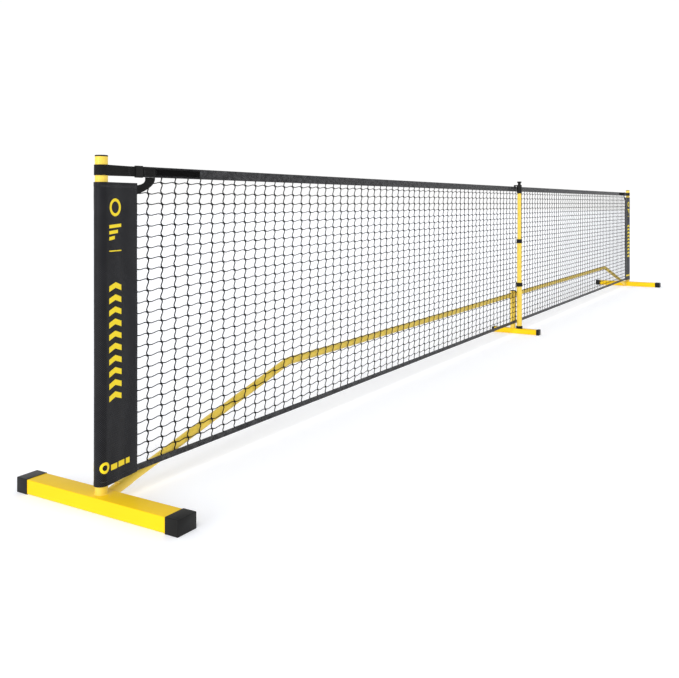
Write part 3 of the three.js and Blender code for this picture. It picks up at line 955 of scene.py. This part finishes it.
def make_tape(node, way, seams):
    """A long folded tape with its rope edge and stitched seams, gently wavy."""
    low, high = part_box(node)
    section = tape_section(low.z, high.z, way)
    rings, cloth = [], []
    for x in np.linspace(low.x, high.x, 260):
        rings.append([Vector((x, y + tape_sway(x), z)) for y, z in section])
        cloth += [(x, z, y) for y, z in section]
    new_piece(f"{node}_cloth", loft(rings), TAPE, "frame", [node], cloth)
    rows = []
    for z in seams:
        for face in (-1, 1):
            seam = [(Vector((x, tape_sway(x) + face * 1.3 * MM, z)), Y * face)
                    for x in np.linspace(low.x + 2 * MM, high.x - 2 * MM, 130)]
            rows.append(stitch_row(seam, length=4.6 * MM, pitch=7 * MM, radius=0.35 * MM))
    sew(f"{node}_stitches", rows)


def make_tapes():
    low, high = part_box("top_tape")
    make_tape("top_tape", 1, (low.z + 3 * MM, high.z - 7.5 * MM))
    low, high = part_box("bottom_tape")
    make_tape("bottom_tape", -1, (high.z - 3 * MM,))


# ---- sleeves

SLEEVE_RADIUS = 19.6 * MM
SLEEVE_EDGE = 128 * MM
SLEEVE_EDGE_HALF = 1.9 * MM
SLEEVE_WALL = 1.0 * MM
PANEL_STEPS = 26
HEM = 12 * MM
SLEEVE_STITCH = {"pitch": 4.6 * MM, "length": 3.2 * MM, "radius": 0.42 * MM}


def sleeve_route():
    """The sleeve's outside seen from above, as (s, y).

    It runs from the net-side edge along a flat front panel to the post, round behind the post,
    and back along the rear panel."""
    around = round_post(SLEEVE_RADIUS, SLEEVE_EDGE, SLEEVE_EDGE_HALF)
    touch = around[0]
    panel = []
    for i in range(PANEL_STEPS):
        t = i / PANEL_STEPS
        hollow = 0.8 * MM * sin(pi * t) ** 2
        panel.append((SLEEVE_EDGE + (touch[0] - SLEEVE_EDGE) * t,
                      SLEEVE_EDGE_HALF + (touch[1] - SLEEVE_EDGE_HALF) * t - hollow))
    return [(s, -y) for s, y in panel + around] + panel[::-1]


ROUTE = sleeve_route()
ROUTE_LENGTHS = arc_lengths([Vector((s, y, 0)) for s, y in ROUTE])
SLEEVE_WIDTH = ROUTE_LENGTHS[-1]
PANEL_WIDTH = ROUTE_LENGTHS[PANEL_STEPS]  # from the edge to where the cloth meets the post


def route_normal(index):
    (s0, y0), (s1, y1) = ROUTE[max(index - 1, 0)], ROUTE[min(index + 1, len(ROUTE) - 1)]
    direction = Vector((s1 - s0, y1 - y0)).normalized()
    return Vector((-direction.y, direction.x))


def sleeve_fold(along, z, side):
    """How far soft folds lift the cloth, in metres: slight waves down the panels and pull lines."""
    slack = min(1.0, abs(along - SLEEVE_WIDTH / 2) / 0.06)
    wave = 0.55 * sin(along * 88 + 1.7 * sin(z * 7 + side))
    ripple = 0.32 * sin(z * 21 + along * 30 + side * 2)
    pull = 0.5 * sin(z * 75 - along * 60) * exp(-((z - 0.84) / 0.05) ** 2)
    return MM * slack * (wave + ripple + pull)


def sleeve_point(index, z, side, lift=0.0):
    s, y = ROUTE[index]
    normal = route_normal(index)
    out = sleeve_fold(ROUTE_LENGTHS[index], z, side) + lift
    return Vector((x_at(side, s + normal.x * out), y + normal.y * out, z))


def on_sleeve(u, z, side, face, lift=0.0):
    """A point on the sleeve. u runs over the cloth from the front fold (face -1) or the back
    fold (face 1) towards the net-side edge; below 0 it goes round the post."""
    along = PANEL_WIDTH - u if face < 0 else SLEEVE_WIDTH - PANEL_WIDTH + u
    index = int(np.searchsorted(ROUTE_LENGTHS, along)) - 1
    index = min(max(index, 0), len(ROUTE) - 2)
    t = (along - ROUTE_LENGTHS[index]) / (ROUTE_LENGTHS[index + 1] - ROUTE_LENGTHS[index])
    return sleeve_point(index, z, side, lift).lerp(sleeve_point(index + 1, z, side, lift), t)


def make_sleeve(name, side):
    low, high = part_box(f"{name}_sleeve")
    hems = (low.z + HEM, high.z - HEM, high.z - 11 * MM)
    heights = sorted({*np.linspace(low.z, high.z, 84), *hems})
    rings, cloth = [], []
    for z in heights:
        hem = 0.45 * MM if (z > high.z - 11.5 * MM or z < low.z + 11.5 * MM) else 0.0
        outer = [sleeve_point(i, z, side, hem) for i in range(len(ROUTE))]
        inner = [sleeve_point(i, z, side, -SLEEVE_WALL) for i in range(len(ROUTE) - 1, -1, -1)]
        rings.append(outer + inner)
        cloth += [(length, z, 0) for length in ROUTE_LENGTHS]
        cloth += [(length, z, 0) for length in reversed(ROUTE_LENGTHS)]
    points, faces = loft(rings, caps=False)
    count, last = len(rings[0]), (len(rings) - 1) * len(rings[0])
    for j in range(len(ROUTE) - 1):
        k = count - 1 - j
        faces.append((j, j + 1, k - 1, k)[::-1])
        faces.append((last + j, last + j + 1, last + k - 1, last + k))
    sleeve = new_piece(f"{name}_sleeve_cloth", (points, faces), SLEEVE_CLOTH, "frame",
                       [f"{name}_sleeve"], cloth)
    rows = []
    for face in (-1, 1):
        for z in (high.z - 12.5 * MM, high.z - 9.5 * MM, low.z + 12.5 * MM):
            seam = [(on_sleeve(u, z, side, face, 0.3 * MM), Y * face)
                    for u in np.linspace(-0.02, PANEL_WIDTH - 3 * MM, 60)]
            rows.append(stitch_row(seam, **SLEEVE_STITCH))
        for u in (PANEL_WIDTH - 8 * MM, PANEL_WIDTH - 5 * MM):
            seam = [(on_sleeve(u, z, side, face, 0.15 * MM), Y * face)
                    for z in np.linspace(low.z + 4 * MM, high.z - 4 * MM, 160)]
            rows.append(stitch_row(seam, **SLEEVE_STITCH))
    stitches = sew(f"{name}_sleeve_stitches", rows)
    marks = make_marks(name, side)


def patch_grid(rows, side, face):
    """A thin conforming patch from rows of (s, z) points, as a closed slab on the cloth."""
    count, deep = len(rows[0]), len(rows)
    points = []
    for lift in (0.28 * MM, 0.02 * MM):
        for row in rows:
            points += [on_sleeve(u, z, side, face, lift) for u, z in row]
    faces = []
    half = count * deep
    for i in range(deep - 1):
        for j in range(count - 1):
            a, b = i * count + j, (i + 1) * count + j
            faces.append((a, a + 1, b + 1, b))
            faces.append((half + a, half + b, half + b + 1, half + a + 1))
    edge = [*range(count)] + [i * count + count - 1 for i in range(1, deep)]
    edge += [(deep - 1) * count + j for j in range(count - 2, -1, -1)]
    edge += [i * count for i in range(deep - 2, 0, -1)]
    for a, b in zip(edge, edge[1:] + edge[:1]):
        faces.append((a, half + a, half + b, b))
    return points, faces


def bar_rows(start, end, z, tall, slant=0, steps=8):
    """A slanted bar of print from u = start to u = end, with z at its low left corner."""
    corners = [(start, z), (end, z + slant), (end, z + slant + tall), (start, z + tall)]
    rows = []
    for v in np.linspace(0, 1, steps):
        row = []
        for w in np.linspace(0, 1, steps):
            low = [corners[0][axis] * (1 - w) + corners[1][axis] * w for axis in (0, 1)]
            high = [corners[3][axis] * (1 - w) + corners[2][axis] * w for axis in (0, 1)]
            row.append((low[0] * (1 - v) + high[0] * v, low[1] * (1 - v) + high[1] * v))
        rows.append(row)
    return rows


def ring_rows(u, z, outer, inner):
    return [[(u + r * cos(turn), z + r * sin(turn)) for r in np.linspace(inner, outer, 4)]
            for turn in np.linspace(0, 2 * pi, 49)]


def print_marks():
    """Plain shapes in the places of a sleeve's print, each as rows of points (u, z)."""
    left, middle, right = 8 * MM, 33 * MM, 58 * MM
    marks = []
    for i in range(10):  # a column of chevrons
        z, rise, tall = 0.283 + i * 0.0325, 9 * MM, 15 * MM
        marks.append(bar_rows(left, middle, z, tall, rise))
        marks.append(bar_rows(middle, right, z + rise, tall, -rise))
    marks.append(bar_rows(left, right, 0.682, 3 * MM))
    for i, reach in enumerate((22 * MM, 36 * MM, 50 * MM)):  # three bars below a ring
        marks.append(bar_rows(left, left + reach, 0.712 + i * 0.016, 9 * MM, 3 * MM))
    marks.append(ring_rows(middle, 0.800, 24 * MM, 16 * MM))
    marks.append(ring_rows(-7 * MM, 0.113, 15 * MM, 7.5 * MM))
    for start, end in ((15 * MM, 40 * MM), (46 * MM, 71 * MM), (77 * MM, 92 * MM)):
        marks.append(bar_rows(start, end, 0.100, 15 * MM))
    return marks


def make_marks(name, side):
    pieces = []
    for face, word in ((-1, "front"), (1, "back")):
        shapes = [patch_grid(rows, side, face) for rows in print_marks()]
        pieces.append(new_piece(f"{name}_print_{word}", join_shapes(*shapes), INK))
    return pieces


# ---- net

DOWN_RADIUS = 1.8 * MM
ACROSS_RADIUS = 1.45 * MM
ROWS = 26
COLUMNS = 115
FIRST_ROW_DROP = 14 * MM  # below the top tape
LAST_ROW_RISE = 22 * MM  # above the bottom tape
FIRST_COLUMN = 0.1706  # from the post's axis
TOP_ROW_END = 0.188  # from the post's axis, where the corner strap holds it
EDGE_COLUMN_TOP = 0.856
WAVE_ACROSS = 3.4 * MM
WAVE_DOWN = 2.2 * MM
CELL_STEPS = (0.0, 0.09, 0.27, 0.5, 0.73, 0.91)
KNOT_SWELL = {0.0: 1.95, 0.09: 1.3, 0.91: 1.3}


def cord_points(knots, down, cell):
    """A cord through its knots, with a slack S between them. Gives points and radii."""
    sway_way = X if down else Z
    amount = WAVE_ACROSS if down else -WAVE_DOWN
    radius = DOWN_RADIUS if down else ACROSS_RADIUS
    points, radii = [], []
    for a, b in zip(knots, knots[1:]):
        share = min(1.0, (b - a).length / cell)
        for t in CELL_STEPS:
            sway = amount * share * sin(2 * pi * t)
            swing = 0.9 * MM * sin(pi * t) * (1 if down else -1)
            points.append(a.lerp(b, t) + sway_way * sway + Y * swing)
            radii.append(radius * KNOT_SWELL.get(t, 1.0))
    points.append(knots[-1].copy())
    radii.append(radius)
    radii[0] = radius
    return points, radii


def cord_tube(points, radii, sides=5):
    rings = [ring_round(point, Y, direction.cross(Y).normalized(), radius, sides)
             for point, direction, radius in zip(points, headings(points), radii)]
    return loft(rings)


def make_net():
    """Knotted cords: columns and rows cross at shared knots, in a left and a right half."""
    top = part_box("top_tape")[0].z
    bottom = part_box("bottom_tape")[1].z
    first = top - FIRST_ROW_DROP
    row_pitch = (first - bottom - LAST_ROW_RISE) / (ROWS - 1)
    column_pitch = 2 * (HALF_SPAN - FIRST_COLUMN) / (COLUMNS - 1)
    jitter = np.random.default_rng(7).uniform(-1, 1, (COLUMNS, ROWS, 2)) * MM * np.array([1.5, 0.9])
    start = FIRST_COLUMN - HALF_SPAN

    def knot(i, j):
        dx, dz = jitter[i, j]
        return Vector((start + i * column_pitch + dx, 0, first - j * row_pitch + dz))

    grid = [[knot(i, j) for j in range(ROWS)] for i in range(COLUMNS)]
    halves = {"left": [], "right": []}
    for i, column in enumerate(grid):
        edge = i in (0, COLUMNS - 1)
        knots = column[1:] if edge else column  # the corner is cut off under its strap
        head = Vector((column[0].x, 0, EDGE_COLUMN_TOP if edge else top + 1 * MM))
        foot = Vector((column[-1].x, 0, bottom - 1 * MM))
        halves["left" if column[0].x < 0 else "right"].append(
            cord_tube(*cord_points([head, *knots, foot], True, row_pitch)))
    middle = COLUMNS // 2
    for j in range(ROWS):
        for word, side in SIDES:
            own = range(middle, -1, -1) if side < 0 else range(middle, COLUMNS)
            knots = [grid[i][j] for i in own]
            if j == 0:
                knots[-1] = Vector((x_at(side, TOP_ROW_END), 0, knots[-1].z - 2 * MM))
            else:
                knots.append(Vector((x_at(side, SLEEVE_EDGE - 1.5 * MM), 0, knots[-1].z + 1 * MM)))
            if side < 0:
                knots = knots[::-1]
            halves[word].append(cord_tube(*cord_points(knots, False, column_pitch)))
    for word, shapes in halves.items():
        new_piece(f"{word}_net_cords", join_shapes(*shapes), CORD, "frame", ["net_mesh"])


# ---- floor and light

def make_floor():
    """A pale floor with a slight glow, so that it meets the background with no edge."""
    n = Nodes("pale_floor")
    n.colour(n.noise(n.place(), 1.2), (0.3, (0.90, 0.90, 0.91)), (0.7, (0.92, 0.92, 0.925)))
    n.set(Roughness=0.7, Specular_IOR_Level=0.2)
    n.set(Emission_Color=(0.97, 0.98, 1.0, 1.0), Emission_Strength=0.185)
    mesh = bpy.data.meshes.new("floor")
    ring = circle_ring(Vector((0, 0, 0)), Z, 90, 96)
    mesh.from_pydata([tuple(p) for p in ring], [], [tuple(range(96))])
    mesh.materials.append(n.material)
    floor = bpy.data.objects.new("floor", mesh)
    bpy.context.scene.collection.objects.link(floor)


def sun_light(name, towards, power, spread, colour=(1, 1, 1)):
    """An even light from far off. towards points at the light; spread softens its shadows."""
    data = bpy.data.lights.new(name, "SUN")
    data.energy = power
    data.angle = radians(spread)
    data.color = colour
    light = bpy.data.objects.new(name, data)
    light.rotation_euler = (-Vector(towards)).to_track_quat("-Z", "Y").to_euler()
    bpy.context.scene.collection.objects.link(light)


def make_light():
    """A white studio: bright all round near the horizon, dimmer overhead, with two soft lights."""
    world = bpy.data.worlds.new("studio")
    bpy.context.scene.world = world
    world.use_nodes = True
    nodes, links = world.node_tree.nodes, world.node_tree.links
    split = nodes.new("ShaderNodeSeparateXYZ")
    ramp = nodes.new("ShaderNodeValToRGB")
    horizon, overhead = (0.45, (1.0, 1.0, 1.0)), (0.95, (0.39, 0.42, 0.48))
    set_stops(ramp, (horizon, overhead))
    links.new(nodes.new("ShaderNodeTexCoord").outputs["Generated"], split.inputs[0])
    links.new(split.outputs["Z"], ramp.inputs["Fac"])
    links.new(ramp.outputs["Color"], nodes["Background"].inputs["Color"])
    nodes["Background"].inputs["Strength"].default_value = 1.02
    sun_light("key", (-0.55, -0.25, 0.80), 0.8, 22)
    sun_light("side_fill", (-0.93, 0.05, 0.2), 1.55, 35)


make_feet()
make_posts()
make_rails()
make_centre()
make_end_straps()
make_tapes()
for end_name, end_side in SIDES:
    make_sleeve(end_name, end_side)
make_net()
make_floor()
make_light()
bpy.context.scene.view_settings.view_transform = "Standard"
